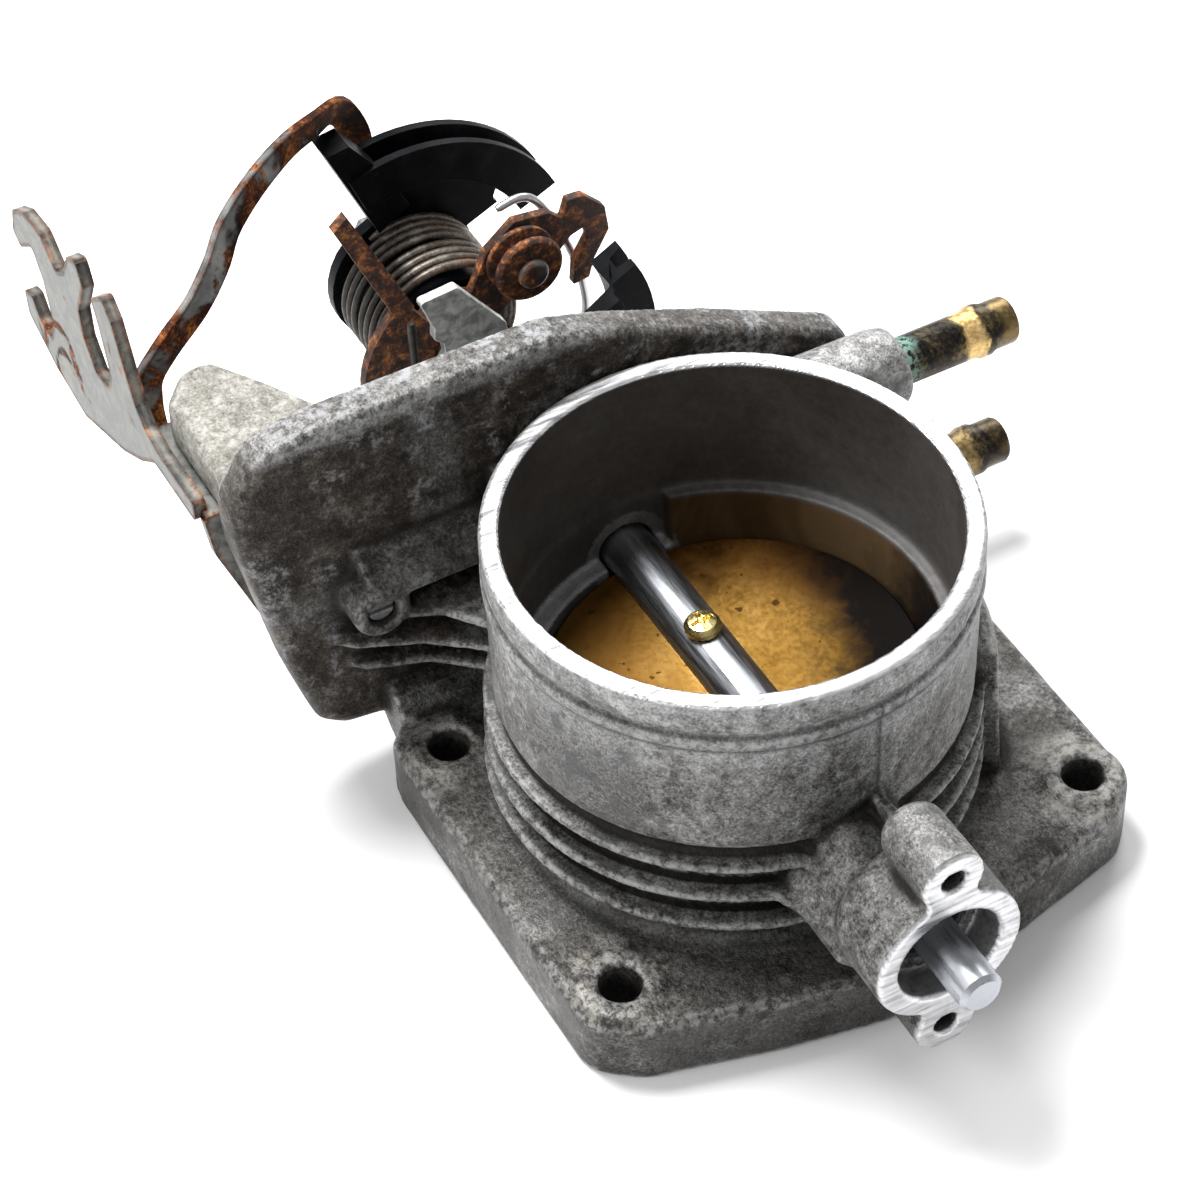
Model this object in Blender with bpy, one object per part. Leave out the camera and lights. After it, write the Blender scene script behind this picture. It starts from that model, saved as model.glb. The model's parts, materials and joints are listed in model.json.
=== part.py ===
"""Single-bore, cable-operated throttle body with a coolant-heated alloy casting.

Design axes, in millimetres: the bore runs along Z with the top of the inlet rim at z = 0, the
throttle shaft runs along X (position sensor end at +X, cable linkage end at -X). Everything is
moved to the library frame (base on z = 0, box centred on the origin) by place().
"""

import math

import bmesh
import bpy
from mathutils import Matrix, Vector

# ---- driving dimensions, millimetres ----
SHIFT = Vector((34.95, -4.7, 83.0))  # design axes to library frame

RIM_R, RIM_BORE_R = 48.0, 44.0  # inlet rim, outside and inside
THROAT_R = 38.6  # bore at the plate
LEDGE_POS_R, LEDGE_POS_Z = 41.4, -32.0  # relief above the rising half of the plate
LEDGE_NEG_Z = -43.6  # seat ledge on the falling half
STEP_Y = 8.5  # where one ledge steps to the other

FLANGE_TOP_Z, FLANGE_BOTTOM_Z = -68.0, -83.0
HOLE_DX, HOLE_DY, HOLE_CX, HOLE_CY, HOLE_R = 35.6, 52.8, 2.8, 5.4, 4.25

SHAFT_Z = -44.7  # height of the throttle shaft below the rim
SHAFT_R, SHAFT_SENSOR_R, SHAFT_LEVER_R = 5.95, 4.55, 5.0
SHAFT_TIP_X, SENSOR_FACE_X = 90.1, 79.1
SENSOR_SCREW_DZ = 20.5
CLOSED_DEG = 4.0  # plate angle when shut

PLATE_R, PLATE_T = 38.2, 2.4
PLATE_SCREW_XS = (-11.0, 19.0)

WALL_X0, WALL_X1 = -58.0, -50.0  # back and front of the side wall
WALL_TOP_Z = 12.0

PULLEY_R, PULLEY_X0, PULLEY_X1 = 38.2, -145.6, -136.4
CRUISE_R, CRUISE_X0, CRUISE_X1 = 39.6, -109.6, -100.4
SPRING_R, WIRE_R = 16.1, 0.95
ROLLER_Y, ROLLER_DZ, ROLLER_R = 16.0, 16.2, 8.0

PIPE_R = 5.1
PIPE_UPPER = (-40.0, -20.0, 89.0)  # x, z, tip y
PIPE_LOWER = (-46.0, -60.6, 93.0)
BRACKET_Y0, BRACKET_Y1 = -83.6, -81.0

for old in list(bpy.data.objects):
    bpy.data.objects.remove(old, do_unlink=True)
for old in list(bpy.data.collections):
    bpy.data.collections.remove(old)

PARTS = bpy.data.collections.new("throttle_body")
bpy.context.scene.collection.children.link(PARTS)


# ---- helpers ----
def material(name, colour, metallic, rough):
    mat = bpy.data.materials.new(name)
    mat.use_nodes = True
    node = mat.node_tree.nodes["Principled BSDF"]
    node.inputs["Base Color"].default_value = (*colour, 1)
    node.inputs["Metallic"].default_value = metallic
    node.inputs["Roughness"].default_value = rough
    mat.diffuse_color = (*colour, 1)
    return mat


def mesh_object(name, bm, collect=True):
    bmesh.ops.remove_doubles(bm, verts=bm.verts, dist=1e-5)
    bmesh.ops.recalc_face_normals(bm, faces=bm.faces)
    mesh = bpy.data.meshes.new(name)
    bm.to_mesh(mesh)
    bm.free()
    obj = bpy.data.objects.new(name, mesh)
    (PARTS if collect else bpy.context.scene.collection).objects.link(obj)
    return obj


def prism(points, axis, low, high, chamfer=0.0, rounds=None):
    """Polygon extruded along an axis. For X the points are (y, z), for Y (x, z), for Z (x, y)."""

    def put(u, v, w):
        return {"x": (w, u, v), "y": (u, w, v), "z": (u, v, w)}[axis]

    if rounds:
        points = rounded(points, rounds)
    bm = bmesh.new()
    rings = []
    levels = [(low, 0.0), (high, 0.0)]
    if chamfer:
        levels = [(low, 0.0), (high - chamfer, 0.0), (high, chamfer)]
    for w, inset in levels:
        ring = inset_polygon(points, inset) if inset else points
        rings.append([bm.verts.new(put(u, v, w)) for u, v in ring])
    n = len(points)
    for a, b in zip(rings, rings[1:]):
        for i in range(n):
            bm.faces.new((a[i], a[(i + 1) % n], b[(i + 1) % n], b[i]))
    bm.faces.new(rings[0][::-1])
    bm.faces.new(rings[-1])
    return mesh_object("tmp", bm, False)


def inset_polygon(points, d):
    n = len(points)
    area = sum(points[i][0] * points[(i + 1) % n][1] - points[(i + 1) % n][0] * points[i][1] for i in range(n))
    sign = 1 if area > 0 else -1
    out = []
    for i in range(n):
        p, q, r = Vector(points[i - 1]), Vector(points[i]), Vector(points[(i + 1) % n])
        a, b = (q - p).normalized(), (r - q).normalized()
        na, nb = Vector((-a.y, a.x)) * sign, Vector((-b.y, b.x)) * sign
        mid = na + nb
        mid = mid / max(mid.length_squared, 0.3) * 2 if mid.length > 1e-6 else na
        out.append(tuple(q + mid * d * (1 if mid.length < 2.5 else 2.5 / mid.length)))
    return out


def rounded(points, radii, steps=3):
    """Corner rounding: radii is one number, or a list beside the points."""
    n = len(points)
    radii = [radii] * n if isinstance(radii, (int, float)) else radii
    out = []
    for i in range(n):
        p, q, r = Vector(points[i - 1]), Vector(points[i]), Vector(points[(i + 1) % n])
        rad = radii[i]
        a, b = (p - q), (r - q)
        if rad <= 0 or a.length < 1e-6 or b.length < 1e-6:
            out.append(tuple(q))
            continue
        turn = a.angle(b)
        cut = min(rad / max(math.tan(turn / 2), 1e-3), 0.45 * a.length, 0.45 * b.length)
        s, e = q + a.normalized() * cut, q + b.normalized() * cut
        for k in range(steps + 1):
            t = k / steps
            out.append(tuple((1 - t) ** 2 * s + 2 * t * (1 - t) * q + t * t * e))
    return out


def lathe(profile, axis, centre=(0, 0), steps=48, start=0.0, sweep=360.0):
    """Closed profile of (radius, along) points turned about an axis line through centre."""
    bm = bmesh.new()
    full = abs(sweep - 360.0) < 1e-6
    count = steps if full else steps + 1
    capped = full and profile[0][0] < 1e-6 and profile[-1][0] < 1e-6
    if capped:
        profile = profile[1:-1]
    rings = []
    for k in range(count):
        t = math.radians(start + sweep * k / steps)
        ring = []
        for r, w in profile:
            u, v = centre[0] + r * math.cos(t), centre[1] + r * math.sin(t)
            ring.append(bm.verts.new({"x": (w, u, v), "y": (u, w, v), "z": (u, v, w)}[axis]))
        rings.append(ring)
    m = len(profile)
    for k in range(count if full else count - 1):
        a, b = rings[k], rings[(k + 1) % count]
        for i in range(m - 1 if capped else m):
            j = (i + 1) % m
            bm.faces.new((a[i], a[j], b[j], b[i]))
    if capped:
        bm.faces.new([ring[0] for ring in rings])
        bm.faces.new([ring[-1] for ring in rings][::-1])
    elif not full:
        bm.faces.new(rings[0])
        bm.faces.new(rings[-1][::-1])
    return mesh_object("tmp", bm, False)


def rod(axis, centre, radius, low, high, steps=32, chamfer=0.0):
    c = chamfer
    profile = [(0, low), (radius - c, low), (radius, low + c), (radius, high - c), (radius - c, high), (0, high)]
    if not c:
        profile = [(0, low), (radius, low), (radius, high), (0, high)]
    return lathe(profile, axis, centre, steps)


def ring(axis, centre, inner, outer, low, high, steps=32, chamfer=0.0):
    c = chamfer
    profile = [(inner, low), (outer - c, low), (outer, low + c), (outer, high - c), (outer - c, high), (inner, high)]
    if not c:
        profile = [(inner, low), (outer, low), (outer, high), (inner, high)]
    return lathe(profile, axis, centre, steps)


def box(x0, x1, y0, y1, z0, z1):
    return prism([(x0, y0), (x1, y0), (x1, y1), (x0, y1)], "z", z0, z1)


def boolean(base, tool, operation):
    mod = base.modifiers.new("b", "BOOLEAN")
    mod.operation = operation
    mod.solver = "EXACT"
    mod.object = tool
    graph = bpy.context.evaluated_depsgraph_get()
    mesh = bpy.data.meshes.new_from_object(base.evaluated_get(graph))
    base.modifiers.clear()
    old = base.data
    base.data = mesh
    bpy.data.meshes.remove(old)
    bpy.data.objects.remove(tool, do_unlink=True)
    return base


def join(base, *tools):
    for tool in tools:
        boolean(base, tool, "UNION")
    return base


def cut(base, *tools):
    for tool in tools:
        boolean(base, tool, "DIFFERENCE")
    return base


def tube(path, radius, sides=8, closed_ends=True):
    """Round wire swept along a list of points with a parallel-carried frame."""
    path = [Vector(p) for p in path]
    bm = bmesh.new()
    tangent = (path[1] - path[0]).normalized()
    side = tangent.orthogonal().normalized()
    rings = []
    for i, p in enumerate(path):
        ahead = path[min(i + 1, len(path) - 1)] - path[max(i - 1, 0)]
        new = ahead.normalized()
        side = (tangent.rotation_difference(new) @ side).normalized()
        tangent = new
        up = tangent.cross(side)
        rings.append([bm.verts.new(p + radius * (side * math.cos(a) + up * math.sin(a)))
                      for a in (2 * math.pi * k / sides for k in range(sides))])
    for a, b in zip(rings, rings[1:]):
        for k in range(sides):
            bm.faces.new((a[k], a[(k + 1) % sides], b[(k + 1) % sides], b[k]))
    bm.faces.new(rings[0][::-1])
    bm.faces.new(rings[-1])
    return mesh_object("tmp", bm, False)


def smooth_path(points, per=5):
    """Catmull-Rom curve through the points."""
    pts = [Vector(p) for p in points]
    pts = [2 * pts[0] - pts[1]] + pts + [2 * pts[-1] - pts[-2]]
    out = []
    for i in range(1, len(pts) - 2):
        a, b, c, d = pts[i - 1 : i + 3]
        for k in range(per):
            t = k / per
            out.append(0.5 * ((2 * b) + (c - a) * t + (2 * a - 5 * b + 4 * c - d) * t * t + (3 * b - a - 3 * c + d) * t ** 3))
    out.append(pts[-2])
    return out


def finish(obj, name, mat, smooth=35.0, pivot=None, turn=0.0):
    """Names the piece, moves it to the library frame in metres and puts its origin on its own axis."""
    obj.name = name
    obj.data.name = name
    bpy.context.scene.collection.objects.unlink(obj)
    PARTS.objects.link(obj)
    if turn:
        spot = Matrix.Translation((0, 0, SHAFT_Z))
        obj.data.transform(spot @ Matrix.Rotation(math.radians(turn), 4, "X") @ spot.inverted())
    obj.data.transform(Matrix.Scale(0.001, 4) @ Matrix.Translation(SHIFT))
    at = (Vector(pivot) + SHIFT) * 0.001 if pivot else Vector((0, 0, 0))
    obj.data.transform(Matrix.Translation(-at))
    obj.location = at
    obj.data.materials.clear()
    obj.data.materials.append(mat)
    bm = bmesh.new()
    bm.from_mesh(obj.data)
    bmesh.ops.remove_doubles(bm, verts=bm.verts, dist=2e-6)
    bmesh.ops.dissolve_limit(bm, angle_limit=math.radians(0.4), verts=bm.verts, edges=bm.edges)
    bmesh.ops.triangulate(bm, faces=[f for f in bm.faces if len(f.verts) > 4])
    for edge in bm.edges:
        flat = len(edge.link_faces) == 2 and edge.calc_face_angle(0) < math.radians(smooth)
        edge.smooth = flat
    for face in bm.faces:
        face.smooth = True
    bm.to_mesh(obj.data)
    bm.free()
    return obj


AXIS = (0.0, SHAFT_Z)  # (y, z) of the throttle shaft
PIVOT = (0.0, 0.0, SHAFT_Z)

ALLOY = material("cast_alloy", (0.36, 0.35, 0.34), 0.7, 0.55)
STEEL = material("bright_steel", (0.6, 0.6, 0.62), 1.0, 0.25)
BRASS = material("brass", (0.66, 0.45, 0.16), 1.0, 0.3)
PLATED = material("yellow_zinc", (0.75, 0.6, 0.2), 1.0, 0.3)
ZINC = material("zinc_steel", (0.62, 0.62, 0.6), 0.8, 0.45)
RUST = material("rusted_steel", (0.28, 0.11, 0.05), 0.2, 0.8)
SPRING = material("spring_steel", (0.4, 0.37, 0.34), 0.9, 0.4)
BLACK = material("black_nylon", (0.015, 0.015, 0.018), 0.0, 0.4)
RUBBER = material("seal_rubber", (0.02, 0.02, 0.02), 0.0, 0.7)


# ---- body casting ----
def body_casting():
    barrel = lathe(
        [
            (30.0, -83.0), (30.0, 0.0), (47.4, 0.0), (48.0, -0.6), (48.0, -6.6), (47.3, -7.2),
            (47.3, -8.6), (48.2, -9.2), (48.2, -11.0), (47.5, -11.8), (47.2, -39.2), (46.6, -40.0),
            (45.4, -40.4), (45.4, -42.8), (49.3, -43.3), (49.3, -44.7), (44.0, -45.5), (44.0, -50.6), (49.5, -51.2),
            (49.5, -52.8), (44.0, -53.5), (44.0, -58.7), (49.8, -59.3), (49.8, -60.8), (44.6, -61.5),
            (44.8, -65.2), (47.6, -67.6), (54.0, -69.0), (54.0, -83.0),
        ],
        "z", steps=64,
    )
    flange = prism(
        [(-44.5, -57.6), (43.5, -57.6), (50.0, -49.0), (57.3, -23.0), (62.0, 1.0), (56.0, 33.0), (49.5, 60.0), (42.0, 67.3), (-38.0, 67.3), (-44.5, 60.0)],
        "z", FLANGE_BOTTOM_Z, FLANGE_TOP_Z, chamfer=1.4, rounds=[9, 9, 9, 20, 20, 20, 9, 9, 6, 6],
    )
    wall = prism(
        [(-67.5, -66.5), (-62.0, -70.3), (-50.0, -72.0), (50.0, -72.0), (57.0, -66.0), (60.0, -27.0), (56.5, -16.8), (27.0, -2.2),
         (3.5, 7.6), (-10.0, WALL_TOP_Z), (-62.0, WALL_TOP_Z), (-74.0, 10.0), (-80.6, -2.0), (-80.2, -12.0), (-72.6, -49.0)],
        "x", WALL_X0, WALL_X1, chamfer=1.6, rounds=[5, 4, 4, 4, 4, 5, 6, 10, 10, 10, 10, 7, 7, 6, 20],
    )
    join(barrel, flange, wall)
    # fillet under the wall and the boss lumps round it
    join(barrel, prism([(-57.0, -66.0), (-57.0, -71.0), (-48.0, -79.0), (-40.0, -79.0), (-40.0, -69.5), (-44.0, -67.0), (-48.5, -62.0)], "y", -52.5, 62.0))
    join(barrel, prism([(-50.5, -21.5), (-42.5, -26.5), (-41.0, -30.0), (-50.5, -34.0)], "y", -57.0, -24.0))
    join(barrel, prism([(-51, -60), (-44.0, -56), (-38.5, -44), (-28, -36), (-20, -30), (-51, -20)], "z", -37.4, -35.6))
    join(barrel, prism([(-51, -66), (-45.5, -60), (-40.0, -48), (-32, -38), (-20, -30), (-51, -20)], "z", -44.7, -43.0))
    join(barrel, prism([(-51, -62), (-46.5, -58), (-42.0, -46), (-34, -37), (-20, -30), (-51, -20)], "z", -52.8, -51.2))
    join(barrel, box(-51, -40, -26, 26, -64, -14))  # solid bridge from barrel to wall
    join(barrel, rod("x", (-55.0, -33.0), 6.2, -51.5, -41.0, 24, 0.8))
    # coolant passage with its two pipe bosses
    join(barrel, prism([(-51, 8), (-24, 22), (-30, 38), (-38.5, 47), (-42, 56), (-51, 52)], "z", -64, -16.0, chamfer=3.0))
    for (x, z, tip), r in ((PIPE_UPPER, 9.4), (PIPE_LOWER, 7.2)):
        join(barrel, lathe([(0, 30), (r, 30), (r - 0.4, 57.5), (r - 1.2, 61.5), (0, 61.5)], "y", (x, z), 24))
    # gusset behind the wall that carries the cable bracket
    join(barrel, prism([(-57, -48), (-57, -79.0), (-83.5, -79.0), (-90.5, -73.0), (-91.0, -66.5), (-80, -59.5), (-69, -53.5)],
                       "z", -8.5, 1.5, chamfer=1.2, rounds=[0, 0, 4, 3, 3, 3, 3]))
    # linkage-end boss and the four ribs that hold it
    join(barrel, lathe([(0, -84), (13.0, -84), (14.0, -83), (16.0, -57), (0, -57)], "x", AXIS, 32))
    join(barrel, box(-78, -57, -2.5, 2.5, SHAFT_Z + 8, SHAFT_Z + 34), box(-78, -57, -2.5, 2.5, SHAFT_Z - 26, SHAFT_Z - 8))
    # sensor-end boss with its two screw lugs and side webs
    join(barrel, lathe([(0, 60), (12.6, 60), (14.9, 63.0), (15.6, 66.0), (15.6, SENSOR_FACE_X), (0, SENSOR_FACE_X)], "x", AXIS, 40))
    neck = [(-15.0, -51.0), (-8.8, -40.4), (-4.6, -36.6), (4.6, -36.6), (8.8, -40.4), (15.0, -51.0), (15.4, -53.0), (10.5, -58.5), (-10.5, -58.5), (-15.4, -53.0)]
    join(barrel, prism(neck, "x", 39.0, 65.0, rounds=[0.8, 3, 3, 3, 3, 0.8, 0.8, 4, 4, 0.8]))
    for sign in (1, -1):
        z = SHAFT_Z + sign * SENSOR_SCREW_DZ
        join(barrel, lathe([(0, 62.0), (5.0, 62.0), (6.6, 64.4), (6.6, SENSOR_FACE_X), (0, SENSOR_FACE_X)], "x", (0.0, z), 24))
        web = [(-4.9, z), (4.9, z), (5.9, SHAFT_Z + sign * 12), (-5.9, SHAFT_Z + sign * 12)]
        join(barrel, prism(web, "x", 65.0, SENSOR_FACE_X))
    for sign in (1, -1):
        join(barrel, prism([(40.0, sign * 26.0), (46.5, sign * 17.6), (52.0, sign * 15.6), (60.0, sign * 14.4), (60.0, sign * 8.0), (40.0, sign * 8.0)], "z", -52.9, -51.1))
    join(barrel, prism([(45.5, -33.6), (45.5, -44.0), (64.0, -40.0), (64.0, -26.6), (60.6, -27.4), (53.0, -32.6)], "y", 2.4, 5.0))
    # wider skirt on the +Y side of the barrel
    join(barrel, lathe([(43, -69), (53.4, -69), (51.6, -36), (49.8, -31.5), (43, -31.5)], "z", steps=16, start=58.0, sweep=75.0))
    # raised seats round the four flange holes
    for sx in (-1, 1):
        for sy in (-1, 1):
            centre = (HOLE_CX + sx * HOLE_DX, HOLE_CY + sy * HOLE_DY)
            join(barrel, lathe([(0, -70), (9.2, -70), (8.4, -67.0), (0, -67.0)], "z", centre, 24))
    # bore, with the gasket-side chamfer, then the deeper half above the falling edge of the plate
    cut(barrel, lathe([(0, -88), (THROAT_R + 5.8, -88), (THROAT_R, -82.2), (THROAT_R, -46.5), (LEDGE_POS_R, LEDGE_POS_Z), (RIM_BORE_R, LEDGE_POS_Z), (RIM_BORE_R, 5), (0, 5)], "z", steps=64))
    half = rod("z", (0, 0), RIM_BORE_R - 0.5, LEDGE_NEG_Z, LEDGE_POS_Z + 3.0, 64)
    cut(half, box(-60, 60, STEP_Y, 60, -60, 0))
    cut(barrel, half)
    for sx in (-1, 1):
        for sy in (-1, 1):
            cut(barrel, rod("z", (HOLE_CX + sx * HOLE_DX, HOLE_CY + sy * HOLE_DY), HOLE_R, -90, -60, 24))
    # shaft tunnel, sensor recess, bearing pockets
    bore = SHAFT_R + 0.35
    cut(barrel, lathe([(0, -95), (9, -95), (9, -68), (bore, -68), (bore, 60.6), (9, 60.6), (9, 71), (11, 71), (11, 95), (0, 95)], "x", AXIS, 34, start=3.0))
    for sign in (1, -1):
        cut(barrel, rod("x", (0.0, SHAFT_Z + sign * SENSOR_SCREW_DZ), 2.6, 62.0, 85.0, 16))
    # pipe sockets, bypass screw bore, bracket screw holes
    for x, z, tip in (PIPE_UPPER, PIPE_LOWER):
        cut(barrel, rod("y", (x, z), PIPE_R + 0.3, 48.0, 70.0, 24))
    cut(barrel, rod("x", (-55.0, -33.0), 3.3, -47.0, -39.0, 20))
    for x in (-68.0, -82.0):
        cut(barrel, rod("z", (x, -72.0), 3.0, -20.0, -1.0, 16))
    return finish(barrel, "body_casting", ALLOY)


# ---- throttle shaft, plate and its screws ----
def throttle_shaft():
    shaft = lathe(
        [(0, -160), (3.3, -160), (3.9, -159.3), (3.9, -149.8), (SHAFT_LEVER_R, -149.6), (SHAFT_LEVER_R, -108.0), (SHAFT_R, -107.6),
         (SHAFT_R, 65.7), (SHAFT_SENSOR_R, 66.2), (SHAFT_SENSOR_R, SHAFT_TIP_X - 1.0), (SHAFT_SENSOR_R - 1.0, SHAFT_TIP_X), (0, SHAFT_TIP_X)],
        "x", AXIS, 32,
    )
    gap = PLATE_T / 2 + 0.3
    cut(shaft, box(-PLATE_R - 0.5, PLATE_R + 0.5, -8, 8, SHAFT_Z - gap, SHAFT_Z + gap))
    for x in PLATE_SCREW_XS:
        cut(shaft, rod("z", (x, 0), 2.3, SHAFT_Z - 8, SHAFT_Z + 8, 16))
    # flats where the levers key on
    cut(shaft, box(-107.4, -98.0, -8, 8, SHAFT_Z + 4.9, SHAFT_Z + 8), box(-107.4, -98.0, -8, 8, SHAFT_Z - 8, SHAFT_Z - 4.9))
    return finish(shaft, "throttle_shaft", STEEL, pivot=PIVOT, turn=CLOSED_DEG)


def throttle_plate():
    plate = rod("z", (0, 0), PLATE_R, SHAFT_Z - PLATE_T / 2, SHAFT_Z + PLATE_T / 2, 64, 0.5)
    for x in PLATE_SCREW_XS:
        cut(plate, rod("z", (x, 0), 2.3, SHAFT_Z - 8, SHAFT_Z + 8, 16))
    return finish(plate, "throttle_plate", BRASS, pivot=PIVOT, turn=CLOSED_DEG)


def plate_screw(index, x):
    top = SHAFT_Z + SHAFT_R + 0.3
    screw = lathe(
        [(0, SHAFT_Z - 6.4), (1.6, SHAFT_Z - 6.4), (2.0, SHAFT_Z - 6.0), (2.0, top), (3.75, top), (3.75, top + 1.0), (2.9, top + 1.9), (1.4, top + 2.3), (0, top + 2.35)],
        "z", (x, 0), 20, start=7.0,
    )
    cut(screw, box(x - 2.3, x + 2.3, -0.45, 0.45, top + 1.0, top + 4), box(x - 0.45, x + 0.45, -2.3, 2.3, top + 1.0, top + 4))
    return finish(screw, f"plate_screw_{index}", PLATED, pivot=PIVOT, turn=CLOSED_DEG)


# ---- bearings and lip seals ----
def bearing(name, low, high):
    return finish(ring("x", AXIS, SHAFT_R + 0.3, 8.7, low, high, 32, 0.5), name, STEEL)


def seal(name, low, high, shaft_r):
    middle = (low + high) / 2
    profile = [(shaft_r + 0.9, low), (8.7, low), (8.7, high), (7.4, high), (7.0, middle), (shaft_r + 0.35, high - 0.4), (shaft_r + 0.35, middle - 0.3)]
    return finish(lathe(profile, "x", AXIS, 32), name, RUBBER)


# ---- black nylon pulleys ----
def sector(r0, r1, a0, a1, steps=14):
    """Ring sector as (y, z) points about the shaft; angles are degrees from straight up towards +Y."""

    def at(r, a):
        return (AXIS[0] + r * math.sin(math.radians(a)), AXIS[1] + r * math.cos(math.radians(a)))

    outer = [at(r1, a0 + (a1 - a0) * k / steps) for k in range(steps + 1)]
    inner = [at(r0, a1 + (a0 - a1) * k / steps) for k in range(steps + 1)]
    return outer + inner


def swept(profile, a0, a1, steps):
    """Profile of (radius, x) points turned about the shaft from a0 to a1, degrees from straight up towards +Y."""
    return lathe(profile, "x", AXIS, steps, start=90.0 - a1, sweep=a1 - a0)


def cable_pulley():
    a0, a1 = -21.0, 66.0
    back, front = PULLEY_X0, PULLEY_X1
    hub = SHAFT_LEVER_R + 0.35
    wheel = lathe([(hub, back - 3.6), (12.6, back - 3.6), (12.6, back - 0.6), (17.4, back - 0.6), (17.4, back + 2.3), (12.6, back + 2.3), (12.6, -122.3), (hub, -122.3)], "x", AXIS, 32)
    join(wheel, swept([(9.4, back), (PULLEY_R, back), (PULLEY_R, back + 2.0), (32.4, back + 2.8), (32.4, front - 2.6), (PULLEY_R, front - 2.0),
                       (PULLEY_R, front), (28.5, front), (28.5, back + 2.9), (9.4, back + 2.9)], a0, a1, 18))
    # cable-end block and its nose
    join(wheel, prism([(-7.5, -26.0), (-18.2, -0.8), (-12.6, 0.0), (-6.0, -9.0), (0.0, -21.0)], "x", back + 0.9, front - 0.9))
    # nipple slot
    cut(wheel, prism([(28.0, -25.0), (24.0, -28.5), (22.4, -33.0), (26.0, -36.5), (40, -38), (42, -31)], "x", back - 1, back + 4.2, rounds=1.5))
    return finish(wheel, "cable_pulley", BLACK, pivot=PIVOT)


def cruise_pulley():
    wheel = ring("x", AXIS, SHAFT_R + 0.35, 11.5, -98.9, -86.6, 32)
    join(wheel, swept([(9.0, -98.4), (32.5, -98.4), (32.5, CRUISE_X0), (CRUISE_R, CRUISE_X0), (CRUISE_R, CRUISE_X0 + 2.4), (36.0, CRUISE_X0 + 3.0),
                       (36.0, CRUISE_X1 - 3.0), (CRUISE_R, CRUISE_X1 - 2.4), (CRUISE_R, CRUISE_X1), (32.0, CRUISE_X1), (32.0, -95.6), (9.0, -95.6)], 62.0, 148.0, 17))
    return finish(wheel, "second_pulley", BLACK, pivot=PIVOT)


# ---- return springs ----
def coil(x0, x1, turns, end_deg):
    """Points of a coil that ends at x1 at end_deg; angles as in sector()."""
    n = int(turns * 20)
    points = []
    for k in range(n + 1):
        a = math.radians(end_deg - 360.0 * turns * (1 - k / n))
        points.append((x0 + (x1 - x0) * k / n, SPRING_R * math.sin(a), SHAFT_Z + SPRING_R * math.cos(a)))
    return points


def return_springs():
    leg = smooth_path([(-119.0, -3.6, -60.9), (-113.0, -4.3, -61.6), (-107.6, -6.2, -61.4), (-105.9, -11.0, -57.0), (-105.8, -14.6, -49.0), (-105.8, -15.6, -38.0), (-105.9, -15.8, -24.0)], 3)
    front = coil(-131.8, -122.0, 3.9, -172.0)
    finish(tube(front + leg, WIRE_R), "return_spring_front", SPRING, smooth=80, pivot=PIVOT)
    finish(tube(coil(-141.6, -134.0, 3.25, 60.0), WIRE_R), "return_spring_rear", SPRING, smooth=80, pivot=PIVOT)


# ---- levers ----
def shaft_lever():
    lever = prism([(-12.4, -22.2), (-3.4, -21.4), (7.4, -36.0), (9.0, -45.0), (6.0, -53.0), (-2.0, -55.5), (-8.5, -50.0), (-9.5, -42.0), (-7.2, -38.6), (-7.6, -35.4), (-9.6, -33.6), (-9.4, -30.5)],
                  "x", -110.8, -108.3, rounds=1.0)
    cut(lever, rod("x", AXIS, SHAFT_LEVER_R + 0.35, -115, -105, 28))
    return finish(lever, "shaft_lever", ZINC, pivot=PIVOT)


def accelerator_lever():
    lever = prism(sector(9.0, 25.2, -148.0, -34.0, 16), "x", -114.2, -111.7)
    join(lever, ring("x", AXIS, 6.0, 10.5, -114.2, -111.7, 32))
    join(lever, prism([(-12.0, -25.5), (-16.4, -27.0), (-28.6, 1.8), (-25.4, 4.6)], "x", -114.2, -111.7))
    cut(lever, rod("x", AXIS, SHAFT_LEVER_R + 0.35, -120, -105, 28))
    return finish(lever, "accelerator_lever", RUST, pivot=PIVOT)


def roller_lever():
    lever = ring("x", AXIS, 6.0, 11.2, -121.6, -119.2, 32)
    hook = [(3.0, -38.5), (9.0, -25.5), (16.0, -19.8), (24.5, -21.0), (27.5, -24.0), (29.0, -19.5), (33.0, -19.8), (38.0, -25.0), (38.8, -31.5), (35.0, -38.0), (33.5, -43.0),
            (29.5, -43.5), (30.0, -37.5), (33.5, -31.5), (32.6, -28.5), (29.4, -29.5), (26.0, -33.0), (19.0, -36.5), (10.0, -45.0)]
    join(lever, prism(hook, "x", -121.6, -119.2))
    cut(lever, rod("x", AXIS, SHAFT_LEVER_R + 0.35, -125, -115, 28))
    cut(lever, rod("x", (ROLLER_Y, SHAFT_Z + ROLLER_DZ), 2.5, -125, -115, 20))
    return finish(lever, "roller_lever", RUST, pivot=PIVOT)


ROLLER_AT = (ROLLER_Y, SHAFT_Z + ROLLER_DZ)


def guide_roller():
    profile = [(2.5, -118.8), (ROLLER_R - 0.7, -118.8), (ROLLER_R, -118.0), (ROLLER_R, -117.0), (5.4, -116.4), (5.2, -114.6), (ROLLER_R, -114.0), (ROLLER_R, -113.0), (ROLLER_R - 0.7, -112.2), (2.5, -112.2)]
    return finish(lathe(profile, "x", ROLLER_AT, 32), "guide_roller", RUST, pivot=(-115.5, *ROLLER_AT))


def roller_pin():
    profile = [(0, -123.6), (3.2, -123.6), (3.2, -121.9), (2.2, -121.9), (2.2, -111.9), (3.6, -111.9), (3.6, -110.9), (2.8, -110.2), (0, -110.2)]
    return finish(lathe(profile, "x", ROLLER_AT, 24), "roller_pin", STEEL, pivot=(-115.5, *ROLLER_AT))


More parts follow.
